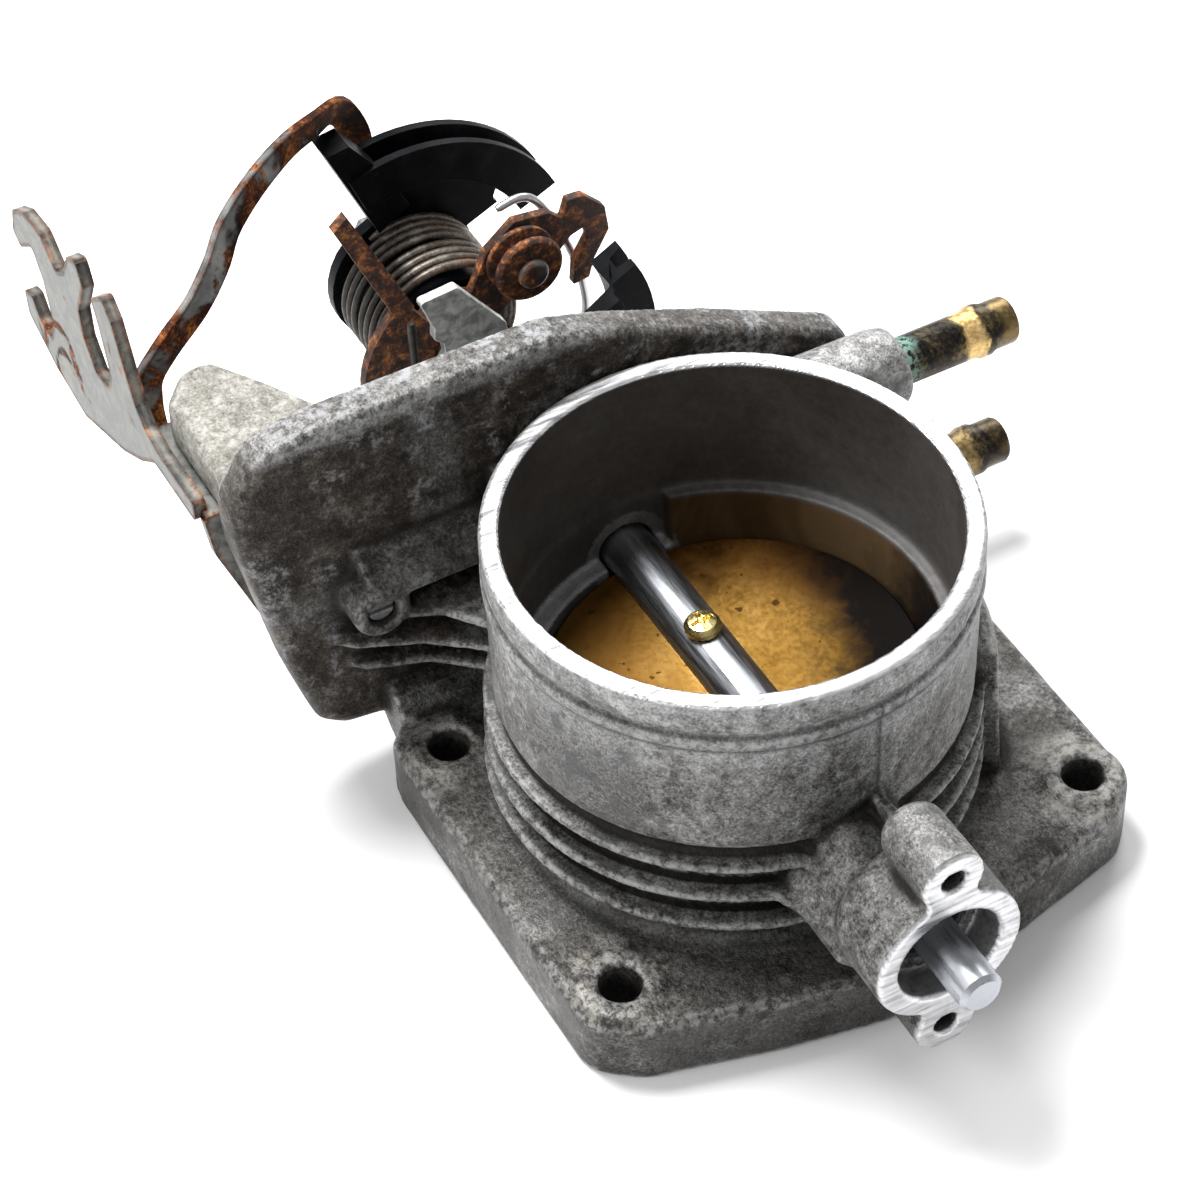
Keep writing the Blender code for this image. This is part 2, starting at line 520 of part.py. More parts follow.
def link_wire():
    path = smooth_path([(-123.5, 14.0, -18.5), (-123.4, 19.5, -17.6), (-123.3, 23.4, -20.2), (-123.2, 27.6, -28.0), (-123.2, 32.0, -40.0), (-123.2, 34.2, -52.0), (-123.2, 33.5, -60.0)], 4)
    return finish(tube(path, 0.95, 8), "link_wire", ZINC, smooth=80, pivot=PIVOT)


# ---- end nut and washer ----
def hexagon(centre, across, turn=0.0):
    r = across / 2 / math.cos(math.pi / 6)
    return [(centre[0] + r * math.cos(math.radians(60 * k + turn)), centre[1] + r * math.sin(math.radians(60 * k + turn))) for k in range(6)]


def shaft_washer():
    return finish(ring("x", AXIS, 4.25, 9.0, -151.2, -149.8, 32), "shaft_washer", ZINC, pivot=PIVOT)


def shaft_nut():
    nut = prism(hexagon(AXIS, 13.0), "x", -157.6, -151.5)
    cut(nut, rod("x", AXIS, 4.25, -165, -145, 24))
    return finish(nut, "shaft_nut", ZINC, pivot=PIVOT)


# ---- cable bracket with its two forks, the guard strap and the screws ----
def cable_bracket():
    plate = prism(
        [(-62.5, -11.6), (-82.0, -11.6), (-90.0, -17.5), (-100.0, -23.0), (-122.0, -31.0), (-136.5, -28.8), (-143.5, -26.0), (-149.5, -23.5), (-150.0, -17.0),
         (-145.5, -15.5), (-142.6, -19.5), (-136.5, -20.5), (-133.5, -14.0), (-135.5, -4.0), (-139.5, 2.0), (-147.0, -3.5), (-150.6, -1.5), (-148.5, 5.5), (-141.5, 9.6),
         (-132.5, 10.6), (-126.0, 5.5), (-121.5, 8.5), (-117.0, 16.0), (-112.0, 18.5), (-109.8, 13.0), (-114.8, 3.5), (-114.5, -3.5), (-110.0, -9.5), (-103.5, -8.5), (-101.0, -3.0),
         (-103.8, 8.0), (-106.0, 13.5), (-99.5, 18.5), (-95.5, 15.0), (-91.5, 5.0), (-88.5, -1.5), (-85.0, -4.6), (-78.0, -6.4), (-62.5, -6.4)],
        "y", BRACKET_Y0, BRACKET_Y1, rounds=1.6,
    )
    foot = prism([(-60.2, -58.5), (-60.2, -82.0), (-88.6, -82.0), (-88.6, -64.0), (-84.0, -58.0)], "z", -11.6, -9.0)
    join(plate, foot)
    join(plate, prism([(-82.6, -10.2), (-81.2, -20.0), (-73.5, -41.0), (-63.0, -41.0), (-61.0, -36.0), (-61.0, -10.2)], "x", -62.8, -60.2))
    for x in (-68.0, -82.0):
        cut(plate, rod("z", (x, -72.0), 3.3, -20.0, -5.0, 20))
    return finish(plate, "cable_bracket", ZINC)


def cable_guard_strap():
    """Flat strip that rises from the bracket, arches over and ends behind the pulley."""
    line = smooth_path([(-100.5, -76.9, -22.0), (-102.5, -76.6, -15.5), (-104.5, -74.6, -10.9), (-108.5, -68.5, -8.2), (-113.5, -59.5, -5.2), (-118.5, -52.3, -1.2), (-124.0, -46.3, 2.8),
                        (-130.0, -37.2, 5.8), (-136.0, -27.4, 6.8), (-142.0, -18.4, 4.8), (-149.0, -9.8, 0.6), (-151.6, -5.2, -8.6), (-152.4, -4.2, -17.0)], 4)
    width, thick = 6.6, 2.3
    bm = bmesh.new()
    rings = []
    for i, p in enumerate(line):
        t = line[min(i + 1, len(line) - 1)] - line[max(i - 1, 0)]
        flat = Vector((0, t.y, t.z)).normalized()
        side = Vector((0, -flat.z, flat.y)) * width / 2
        deep = Vector((thick / 2, 0, 0))
        rings.append([bm.verts.new(p + s * side + d * deep) for s, d in ((1, 1), (1, -1), (-1, -1), (-1, 1))])
    for a, b in zip(rings, rings[1:]):
        for k in range(4):
            bm.faces.new((a[k], a[(k + 1) % 4], b[(k + 1) % 4], b[k]))
    bm.faces.new(rings[0][::-1])
    bm.faces.new(rings[-1])
    return finish(mesh_object("tmp", bm, False), "cable_guard_strap", ZINC)


def bracket_screw(index, x):
    bolt = lathe([(0, -17.2), (4.6, -17.2), (5.0, -16.8), (5.0, -11.9), (2.7, -11.9), (2.7, -2.5), (0, -2.5)], "z", (x, -72.0), 24)
    cut(bolt, prism(hexagon((x, -72.0), 5.0), "z", -20.0, -14.8))
    return finish(bolt, f"bracket_screw_{index}", ZINC)


# ---- coolant pipes and bypass screw ----
def coolant_pipe(name, place, root_y):
    r = PIPE_R
    x, z, tip = place
    profile = [(r - 1.3, root_y), (r, root_y), (r, tip - 10.0), (r + 0.55, tip - 8.8), (r + 0.55, tip - 6.6), (r, tip - 5.4), (r, tip - 0.8), (r - 0.5, tip), (r - 1.3, tip)]
    return finish(lathe(profile, "y", (x, z), 28), name, BRASS)


def bypass_screw():
    plug = rod("x", (-55.0, -33.0), 3.0, -46.6, -42.6, 20, 0.4)
    cut(plug, box(-43.8, -40, -58.2, -51.8, -33.5, -32.5))
    return finish(plug, "bypass_screw", ZINC)


def make_all():
    body_casting()
    throttle_shaft()
    throttle_plate()
    for index, x in enumerate(PLATE_SCREW_XS):
        plate_screw(index + 1, x)
    bearing("bearing_sensor_end", 60.9, 66.2)
    seal("seal_sensor_end", 66.6, 70.6, SHAFT_SENSOR_R)
    bearing("bearing_lever_end", -78.4, -68.4)
    seal("seal_lever_end", -84.0, -79.0, SHAFT_R)
    cable_pulley()
    cruise_pulley()
    return_springs()
    shaft_lever()
    accelerator_lever()
    roller_lever()
    guide_roller()
    roller_pin()
    link_wire()
    shaft_washer()
    shaft_nut()
    cable_bracket()
    cable_guard_strap()
    bracket_screw(1, -68.0)
    bracket_screw(2, -82.0)
    coolant_pipe("coolant_pipe_upper", PIPE_UPPER, 48.4)
    coolant_pipe("coolant_pipe_lower", PIPE_LOWER, 48.4)
    bypass_screw()


make_all()
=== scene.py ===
"""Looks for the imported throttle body: cast alloy bore and flange, brass plate, steel shaft, linkage and pipes."""
import json
import math

import bmesh
import bpy
import numpy as np
from mathutils import Matrix, Vector, noise


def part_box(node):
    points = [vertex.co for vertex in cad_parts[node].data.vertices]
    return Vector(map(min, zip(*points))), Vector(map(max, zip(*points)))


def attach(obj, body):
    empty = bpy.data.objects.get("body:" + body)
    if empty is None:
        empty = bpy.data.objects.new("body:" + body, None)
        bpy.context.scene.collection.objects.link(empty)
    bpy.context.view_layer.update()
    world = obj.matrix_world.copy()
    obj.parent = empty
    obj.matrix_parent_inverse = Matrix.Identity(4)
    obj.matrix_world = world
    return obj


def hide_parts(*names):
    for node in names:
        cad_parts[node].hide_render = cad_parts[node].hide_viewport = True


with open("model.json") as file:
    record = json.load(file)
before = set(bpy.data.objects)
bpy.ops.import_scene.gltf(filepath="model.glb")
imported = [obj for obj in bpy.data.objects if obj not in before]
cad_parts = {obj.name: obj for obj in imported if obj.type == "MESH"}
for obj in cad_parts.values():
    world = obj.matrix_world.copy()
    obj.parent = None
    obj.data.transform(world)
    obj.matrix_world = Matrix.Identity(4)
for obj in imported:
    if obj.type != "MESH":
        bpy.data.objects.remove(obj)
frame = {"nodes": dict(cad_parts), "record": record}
NODES = frame["nodes"]
BODIES = frame["record"]["behaviour"]["bodies"]
BODY_OF = {n: b for b, ns in BODIES.items() for n in ns}
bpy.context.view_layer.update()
SHIFT = np.array([34.95, -4.7, 83.0])  # design millimetres to the row frame
SHAFT_Z = -44.7


def row(x, y, z):
    """A design point in millimetres as a row-frame point in metres."""
    return Vector(((x + SHIFT[0]) / 1000, (y + SHIFT[1]) / 1000, (z + SHIFT[2]) / 1000))


# ------------------------------------------------------------------ shader helper
class Shade:
    def __init__(self, name):
        self.mat = bpy.data.materials.new(name)
        self.mat.use_nodes = True
        self.t = self.mat.node_tree
        self.b = self.t.nodes["Principled BSDF"]
        self.co = self.t.nodes.new("ShaderNodeTexCoord").outputs["Object"]

    def set(self, socket, value):
        if isinstance(value, bpy.types.NodeSocket):
            self.t.links.new(value, socket)
        elif isinstance(value, (tuple, list)):
            socket.default_value = (*value, 1.0) if len(value) == 3 and len(socket.default_value) == 4 else value
        else:
            socket.default_value = value

    def principled(self, **values):
        for key, value in values.items():
            self.set(self.b.inputs[key.replace("_", " ")], value)

    def at(self, scale=(1, 1, 1), turn=(0, 0, 0), move=(0, 0, 0)):
        n = self.t.nodes.new("ShaderNodeMapping")
        self.t.links.new(self.co, n.inputs["Vector"])
        n.inputs["Scale"].default_value = scale
        n.inputs["Rotation"].default_value = turn
        n.inputs["Location"].default_value = move
        return n.outputs["Vector"]

    def noise(self, scale, detail=4.0, rough=0.55, warp=0.0, vec=None):
        n = self.t.nodes.new("ShaderNodeTexNoise")
        self.t.links.new(vec or self.co, n.inputs["Vector"])
        n.inputs["Scale"].default_value = scale
        n.inputs["Detail"].default_value = detail
        n.inputs["Roughness"].default_value = rough
        n.inputs["Distortion"].default_value = warp
        return n.outputs["Fac"]

    def cells(self, scale, feature="F1", vec=None):
        n = self.t.nodes.new("ShaderNodeTexVoronoi")
        n.feature = feature
        self.t.links.new(vec or self.co, n.inputs["Vector"])
        n.inputs["Scale"].default_value = scale
        return n.outputs["Distance"]

    def attr(self, name):
        n = self.t.nodes.new("ShaderNodeAttribute")
        n.attribute_name = name
        return n.outputs["Fac"]

    def rng(self, value, low, high, a=0.0, b=1.0):
        n = self.t.nodes.new("ShaderNodeMapRange")
        n.interpolation_type = "SMOOTHSTEP"
        self.set(n.inputs["Value"], value)
        n.inputs["From Min"].default_value = low
        n.inputs["From Max"].default_value = high
        n.inputs["To Min"].default_value = a
        n.inputs["To Max"].default_value = b
        return n.outputs["Result"]

    def m(self, op, a, b=0.0, clamp=False):
        n = self.t.nodes.new("ShaderNodeMath")
        n.operation = op
        n.use_clamp = clamp
        self.set(n.inputs[0], a)
        if op not in ("ABSOLUTE", "SQRT", "SINE"):
            self.set(n.inputs[1], b)
        return n.outputs[0]

    def mix(self, fac, a, b):
        n = self.t.nodes.new("ShaderNodeMix")
        n.data_type = "RGBA"
        self.set(n.inputs[0], fac)
        self.set(n.inputs[6], a)
        self.set(n.inputs[7], b)
        return n.outputs[2]

    def blend(self, fac, a, b):
        n = self.t.nodes.new("ShaderNodeMix")
        n.data_type = "FLOAT"
        self.set(n.inputs[0], fac)
        self.set(n.inputs[2], a)
        self.set(n.inputs[3], b)
        return n.outputs[0]

    def ramp(self, fac, stops):
        n = self.t.nodes.new("ShaderNodeValToRGB")
        self.set(n.inputs["Fac"], fac)
        els = n.color_ramp.elements
        while len(els) < len(stops):
            els.new(0.5)
        for el, (pos, col) in zip(els, stops):
            el.position = pos
            el.color = (*col, 1.0)
        return n.outputs["Color"]

    def xyz(self, vec=None):
        n = self.t.nodes.new("ShaderNodeSeparateXYZ")
        self.t.links.new(vec or self.co, n.inputs[0])
        return n.outputs[0], n.outputs[1], n.outputs[2]

    def normal(self):
        n = self.t.nodes.new("ShaderNodeNewGeometry")
        s = self.t.nodes.new("ShaderNodeSeparateXYZ")
        self.t.links.new(n.outputs["Normal"], s.inputs[0])
        return s.outputs[0], s.outputs[1], s.outputs[2]

    def bump(self, height, strength, distance, normal=None):
        n = self.t.nodes.new("ShaderNodeBump")
        self.set(n.inputs["Height"], height)
        n.inputs["Strength"].default_value = strength
        n.inputs["Distance"].default_value = distance
        if normal is not None:
            self.t.links.new(normal, n.inputs["Normal"])
        return n.outputs["Normal"]

    def radius(self, axis, centre):
        """Distance from a line along an axis through centre, in metres."""
        x, y, z = self.xyz()
        pair = {"x": (y, z), "y": (x, z), "z": (x, y)}[axis]
        a = self.m("SUBTRACT", pair[0], centre[0])
        b = self.m("SUBTRACT", pair[1], centre[1])
        return self.m("SQRT", self.m("ADD", self.m("MULTIPLY", a, a), self.m("MULTIPLY", b, b)))


# ------------------------------------------------------------------ materials
def cast_material():
    s = Shade("cast_alloy_weathered")
    big = s.noise(30, 4, 0.62, 0.5)
    mid = s.noise(125, 6, 0.68, 0.6)
    fine = s.noise(560, 5, 0.72)
    grain = s.noise(1700, 3, 0.7)
    pits = s.cells(1500)
    mach, bore, wall, lug, band = s.attr("mach"), s.attr("bore"), s.attr("wall"), s.attr("lug"), s.attr("band")
    cav, edge, ledge_and_cup_highlight, flange, tan = s.attr("cav"), s.attr("edge"), s.attr("ledge_and_cup_highlight"), s.attr("flange"), s.attr("tan")
    x, y, z = s.xyz()
    # plain casting: grey with fine grain, brighter towards the rim
    tone = s.m("ADD", s.m("ADD", s.m("MULTIPLY", mid, 0.30), s.m("MULTIPLY", fine, 0.38)), s.m("MULTIPLY", grain, 0.32))
    cast = s.ramp(tone, [(0.40, (0.022, 0.021, 0.020)), (0.46, (0.085, 0.082, 0.078)), (0.51, (0.165, 0.162, 0.157)), (0.56, (0.27, 0.267, 0.262)), (0.62, (0.42, 0.417, 0.41))])
    high = s.m("MULTIPLY", s.rng(s.m("ADD", z, s.m("MULTIPLY", s.m("SUBTRACT", big, 0.5), 0.022)), 0.058, 0.072), s.m("SUBTRACT", 1.0, s.m("MAXIMUM", wall, band), True))
    cast = s.mix(s.m("MULTIPLY", high, 0.62), cast, s.ramp(tone, [(0.40, (0.12, 0.118, 0.115)), (0.47, (0.26, 0.258, 0.254)), (0.53, (0.42, 0.418, 0.414)), (0.60, (0.60, 0.598, 0.594))]))
    stain = s.m("MULTIPLY", s.rng(big, 0.47, 0.58), s.rng(s.m("ADD", s.m("MULTIPLY", mid, 0.6), s.m("MULTIPLY", fine, 0.4)), 0.47, 0.56))
    cast = s.mix(s.m("MULTIPLY", stain, 0.85), cast, s.ramp(fine, [(0.35, (0.020, 0.019, 0.019)), (0.65, (0.085, 0.083, 0.082))]))
    # side wall: brown-black, with a white oxide bloom in two bands
    murk = s.ramp(s.m("ADD", s.m("ADD", s.m("MULTIPLY", mid, 0.44), s.m("MULTIPLY", fine, 0.32)), s.m("MULTIPLY", grain, 0.24)),
                  [(0.40, (0.004, 0.0035, 0.003)), (0.47, (0.020, 0.015, 0.011)), (0.53, (0.050, 0.040, 0.031)), (0.60, (0.14, 0.128, 0.115))])
    murk = s.mix(s.m("MULTIPLY", s.rng(s.noise(27, 4, 0.7, 1.2), 0.50, 0.60), 0.75), murk, s.ramp(tone, [(0.42, (0.034, 0.031, 0.029)), (0.5, (0.090, 0.086, 0.082)), (0.58, (0.20, 0.196, 0.19))]))
    murk = s.mix(s.m("MULTIPLY", s.rng(s.noise(38, 4, 0.65, 0.7), 0.54, 0.62), 0.55), murk, s.ramp(fine, [(0.40, (0.026, 0.013, 0.006)), (0.60, (0.085, 0.050, 0.028))]))
    cast = s.mix(s.m("MULTIPLY", wall, 0.94), cast, murk)
    spots = s.rng(s.m("ADD", s.m("MULTIPLY", mid, 0.45), s.m("MULTIPLY", fine, 0.55)), 0.47, 0.58, 0.0, 0.85)
    patch = s.rng(s.m("ADD", s.noise(40, 6, 0.75, 1.4), s.m("MULTIPLY", band, 0.03)), 0.51, 0.60)
    bloom_at = s.m("MULTIPLY", s.m("MULTIPLY", patch, spots), s.m("MAXIMUM", s.m("MULTIPLY", wall, 0.72), s.m("MULTIPLY", band, 0.95)), True)
    cast = s.mix(s.m("MULTIPLY", band, 0.65), cast, s.ramp(tone, [(0.40, (0.028, 0.026, 0.024)), (0.47, (0.085, 0.081, 0.076)), (0.53, (0.165, 0.16, 0.153)), (0.60, (0.31, 0.305, 0.30))]))
    cast = s.mix(bloom_at, cast, (0.33, 0.34, 0.355))
    # flange: brown-grey clouds and pale oxide round the holes and along the edges
    cloud = s.rng(s.noise(36, 5, 0.68, 0.9), 0.42, 0.55)
    cast = s.mix(s.m("MULTIPLY", s.m("MULTIPLY", flange, cloud), 0.75), cast, s.ramp(tone, [(0.41, (0.016, 0.014, 0.012)), (0.5, (0.058, 0.053, 0.047)), (0.59, (0.14, 0.133, 0.125))]))
    pale = s.m("MULTIPLY", s.m("MULTIPLY", s.attr("seat"), s.rng(mid, 0.42, 0.58)), s.rng(fine, 0.36, 0.56))
    cast = s.mix(s.m("MULTIPLY", pale, 0.70), cast, s.ramp(fine, [(0.38, (0.15, 0.135, 0.10)), (0.62, (0.40, 0.39, 0.36))]))
    # clean casting of the cable lug
    clean = s.ramp(tone, [(0.40, (0.09, 0.086, 0.072)), (0.5, (0.24, 0.232, 0.205)), (0.60, (0.42, 0.41, 0.38))])
    cast = s.mix(s.m("MULTIPLY", lug, 0.85), cast, clean)
    # specks, darkening in the hollows (dirt and painted shade; in the fin gaps painted shade), worn edges, mould seam
    cast = s.mix(s.m("MULTIPLY", s.rng(pits, 0.16, 0.06), s.rng(mid, 0.40, 0.60, 0.0, 0.6)), cast, (0.016, 0.015, 0.014))
    cast = s.mix(s.m("MULTIPLY", s.rng(s.m("ADD", cav, s.m("MULTIPLY", s.m("SUBTRACT", mid, 0.5), 0.25)), 0.10, 0.62), 0.90), cast, (0.010, 0.008, 0.007))
    worn = s.m("MULTIPLY", s.rng(edge, 0.35, 1.0), s.rng(fine, 0.44, 0.58, 0.05, 0.70))
    cast = s.mix(s.m("MULTIPLY", worn, s.m("SUBTRACT", 1.0, s.m("MULTIPLY", wall, 0.80))), cast, (0.36, 0.36, 0.355))
    cast = s.mix(s.m("MULTIPLY", s.attr("seam"), s.rng(fine, 0.34, 0.54, 0.2, 0.9)), cast, (0.020, 0.018, 0.017))
    # bore: grey-brown deposits, tan below the relief
    soot = s.ramp(s.m("ADD", s.m("MULTIPLY", big, 0.7), s.m("MULTIPLY", fine, 0.3)), [(0.38, (0.048, 0.043, 0.039)), (0.52, (0.074, 0.069, 0.065)), (0.66, (0.104, 0.100, 0.097))])
    honey = s.ramp(big, [(0.40, (0.054, 0.029, 0.011)), (0.60, (0.105, 0.066, 0.032))])
    honey = s.mix(s.rng(s.m("ADD", x, s.m("MULTIPLY", s.m("SUBTRACT", mid, 0.5), 0.03)), 0.020, 0.046), honey, (0.006, 0.0045, 0.004))
    soot = s.mix(tan, soot, honey)
    colour = s.mix(bore, cast, soot)
    # machined ledge in the bore made lighter, with a painted highlight on the cup round the shaft entry
    colour = s.mix(ledge_and_cup_highlight, colour, s.ramp(mid, [(0.40, (0.26, 0.262, 0.27)), (0.60, (0.36, 0.36, 0.37))]))
    # machined faces
    brush = s.noise(900, 3, 0.6, vec=s.at(scale=(1, 0.07, 1), turn=(0.75, 0.0, 0.0)))
    bright = s.ramp(s.m("ADD", s.m("MULTIPLY", brush, 0.6), s.m("MULTIPLY", mid, 0.4)), [(0.38, (0.34, 0.34, 0.35)), (0.48, (0.60, 0.60, 0.61)), (0.60, (0.80, 0.80, 0.80))])
    nick = s.m("MULTIPLY", s.rng(s.noise(420, 2, 0.5, vec=s.at(scale=(0.7, 1, 1), turn=(0, 0, 0.5))), 0.72, 0.75), 0.6)
    bright = s.mix(nick, bright, (0.13, 0.125, 0.12))
    colour = s.mix(mach, colour, bright)
    rough = s.blend(bore, s.m("ADD", s.rng(fine, 0.35, 0.65, 0.44, 0.64), s.m("MULTIPLY", bloom_at, 0.2)), s.rng(mid, 0.3, 0.7, 0.50, 0.62))
    rough = s.blend(mach, rough, s.rng(brush, 0.3, 0.7, 0.26, 0.40))
    metal = s.blend(bore, s.blend(s.m("MAXIMUM", bloom_at, s.m("MULTIPLY", wall, 0.7)), 0.72, 0.12), 0.25)
    metal = s.blend(mach, metal, 0.90)
    plain = s.m("SUBTRACT", 1.0, s.m("MAXIMUM", mach, s.m("MULTIPLY", bore, 0.85)), True)
    height = s.m("MULTIPLY", s.m("ADD", s.m("MULTIPLY", grain, 1.1), s.m("ADD", s.m("MULTIPLY", fine, 1.0), s.m("MULTIPLY", s.rng(pits, 0.0, 0.20), 0.35))), plain)
    n = s.bump(height, 0.75, 0.00028)
    n = s.bump(s.m("MULTIPLY", brush, mach), 0.35, 0.00006, n)
    shine = s.m("SUBTRACT", 0.5, s.m("MAXIMUM", s.m("MULTIPLY", wall, 0.26), s.m("MULTIPLY", bore, 0.36)))
    s.principled(Base_Color=colour, Roughness=rough, Metallic=metal, Specular_IOR_Level=shine, Normal=n)
    return s.mat


def steel_material(name, tone=0.62, rough=0.22, streak=(1, 1, 1), stain=0.25, tint=(1.0, 1.0, 1.02)):
    s = Shade(name)
    lines = s.noise(1500, 3, 0.6, vec=s.at(scale=streak))
    cloud = s.noise(140, 4, 0.6, 0.3)
    col = s.ramp(s.m("ADD", s.m("MULTIPLY", lines, 0.5), s.m("MULTIPLY", cloud, 0.5)),
                 [(0.34, tuple(tone * 0.90 * t for t in tint)), (0.5, tuple(tone * t for t in tint)), (0.66, tuple(min(1, tone * 1.08 * t) for t in tint))])
    col = s.mix(s.m("MULTIPLY", s.rng(cloud, 0.56, 0.70), stain), col, tuple(0.35 * tone * t for t in tint))
    s.principled(Base_Color=col, Metallic=1.0, Roughness=s.rng(lines, 0.3, 0.7, rough * 0.8, rough * 1.35),
                 Normal=s.bump(lines, 0.12, 0.00002))
    return s.mat


def plate_material():
    s = Shade("brass_plate_varnished")
    x, y, z = s.xyz()
    big, mid, fine = s.noise(34, 4, 0.6, 0.8), s.noise(150, 5, 0.6, 0.5), s.noise(900, 4, 0.65)
    r = s.radius("z", (SHIFT[0] / 1000, SHIFT[1] / 1000))
    gold = s.ramp(s.m("ADD", s.m("MULTIPLY", big, 0.5), s.m("ADD", s.m("MULTIPLY", mid, 0.3), s.m("MULTIPLY", fine, 0.2))), [(0.34, (0.145, 0.070, 0.011)), (0.49, (0.235, 0.130, 0.029)), (0.64, (0.35, 0.22, 0.070))])
    edge = s.rng(s.m("ADD", r, s.m("MULTIPLY", s.m("SUBTRACT", big, 0.5), 0.050)), 0.013, 0.033)
    rear = s.rng(s.m("ADD", s.m("SUBTRACT", y, s.m("MULTIPLY", x, 0.22)), s.m("MULTIPLY", s.m("SUBTRACT", big, 0.5), 0.050)), 0.002, 0.022)
    brown = s.m("MAXIMUM", s.m("MULTIPLY", edge, 0.92), rear, True)
    col = s.mix(s.m("MULTIPLY", brown, 0.90), gold, s.ramp(mid, [(0.35, (0.030, 0.010, 0.002)), (0.6, (0.115, 0.045, 0.009))]))
    beyond = s.m("MULTIPLY", s.rng(s.m("ADD", y, s.m("MULTIPLY", s.m("SUBTRACT", big, 0.5), 0.02)), -0.004, -0.020), 0.60)
    col = s.mix(beyond, col, s.ramp(big, [(0.38, (0.105, 0.044, 0.008)), (0.62, (0.20, 0.105, 0.024))]))
    soot = s.rng(s.m("ADD", s.m("ADD", y, s.m("MULTIPLY", s.m("SUBTRACT", x, 0.035), 0.42)), s.m("MULTIPLY", s.m("SUBTRACT", s.m("ADD", s.m("MULTIPLY", big, 0.5), s.m("MULTIPLY", mid, 0.5)), 0.5), 0.05)), 0.004, 0.026)
    col = s.mix(soot, col, (0.003, 0.002, 0.0015))
    col = s.mix(s.m("MULTIPLY", s.rng(s.noise(330, 2, 0.5), 0.665, 0.71), s.rng(soot, 0.5, 0.1, 0.0, 0.9)), col, (0.045, 0.020, 0.006))
    s.principled(Base_Color=col, Metallic=s.blend(s.m("MAXIMUM", soot, s.m("MULTIPLY", brown, 0.4)), 0.92, 0.25), Specular_IOR_Level=0.05, Roughness=s.rng(s.m("ADD", fine, s.m("MULTIPLY", brown, 0.25)), 0.3, 0.9, 0.30, 0.50),
                 Normal=s.bump(fine, 0.18, 0.00008))
    return s.mat


def rust_material(name, amount=0.8, plate=(0.46, 0.46, 0.44), scale=1.0, dark=0.5, edges=0.0, metal=0.5):
    """Zinc-plated steel with rust over part of it."""
    s = Shade(name)
    big, mid, fine = s.noise(62 * scale, 4, 0.62, 0.9), s.noise(260 * scale, 5, 0.68, 0.5), s.noise(1300, 4, 0.7)
    zinc = s.ramp(mid, [(0.40, tuple(c * 0.62 for c in plate)), (0.50, plate), (0.60, tuple(min(1.0, c * 1.35) for c in plate))])
    rust = s.ramp(s.m("ADD", s.m("MULTIPLY", mid, 0.6), s.m("MULTIPLY", fine, 0.4)),
                  [(0.40, (0.005, 0.0025, 0.0015)), (0.47, (0.026, 0.008, 0.0035)), (0.53, (0.095, 0.027, 0.007)), (0.61, (0.34, 0.125, 0.028))])
    bevel = s.t.nodes.new("ShaderNodeBevel")
    bevel.samples = 4
    bevel.inputs["Radius"].default_value = 0.0020
    geo = s.t.nodes.new("ShaderNodeNewGeometry")
    dot = s.t.nodes.new("ShaderNodeVectorMath")
    dot.operation = "DOT_PRODUCT"
    s.t.links.new(bevel.outputs["Normal"], dot.inputs[0])
    s.t.links.new(geo.outputs["Normal"], dot.inputs[1])
    rim = s.rng(dot.outputs["Value"], 0.998, 0.93)
    cover = s.rng(s.m("ADD", s.m("ADD", s.m("MULTIPLY", big, 0.7), s.m("MULTIPLY", mid, 0.3)), s.m("MULTIPLY", rim, edges)), 0.66 - 0.36 * amount, 0.72 - 0.36 * amount)
    col = s.mix(cover, zinc, rust)
    col = s.mix(s.m("MULTIPLY", s.rng(big, 0.36, 0.26), dark), col, (0.03, 0.022, 0.018))
    s.principled(Base_Color=col, Specular_IOR_Level=0.5 * min(1.0, metal * 2), Metallic=s.blend(cover, metal, 0.02), Roughness=s.blend(cover, s.rng(mid, 0.3, 0.7, 0.34, 0.52), s.rng(fine, 0.3, 0.7, 0.66, 0.92)),
                 Normal=s.bump(s.m("ADD", s.m("MULTIPLY", s.m("MULTIPLY", fine, cover), 1.0), s.m("MULTIPLY", s.m("MULTIPLY", mid, cover), 0.8)), 0.6, 0.00018))
    return s.mat


def plastic_material():
    s = Shade("black_nylon_satin")
    mid, fine, grain = s.noise(160, 4, 0.6, 0.4), s.noise(900, 4, 0.65), s.noise(3200, 2, 0.5)
    col = s.ramp(mid, [(0.42, (0.0014, 0.0017, 0.0022)), (0.56, (0.0026, 0.003, 0.004)), (0.68, (0.006, 0.0065, 0.008))])
    col = s.mix(s.m("MULTIPLY", s.rng(fine, 0.60, 0.72), 0.35), col, (0.030, 0.028, 0.025))
    s.principled(Base_Color=col, Roughness=s.rng(mid, 0.3, 0.7, 0.36, 0.52), Specular_IOR_Level=0.06, Normal=s.bump(grain, 0.25, 0.00006))
    return s.mat


def rubber_material():
    s = Shade("seal_rubber_black")
    fine = s.noise(1500, 3, 0.6)
    s.principled(Base_Color=s.ramp(fine, [(0.35, (0.010, 0.010, 0.010)), (0.65, (0.030, 0.029, 0.028))]), Roughness=s.rng(fine, 0.3, 0.7, 0.5, 0.75), Normal=s.bump(fine, 0.3, 0.00006))
    return s.mat


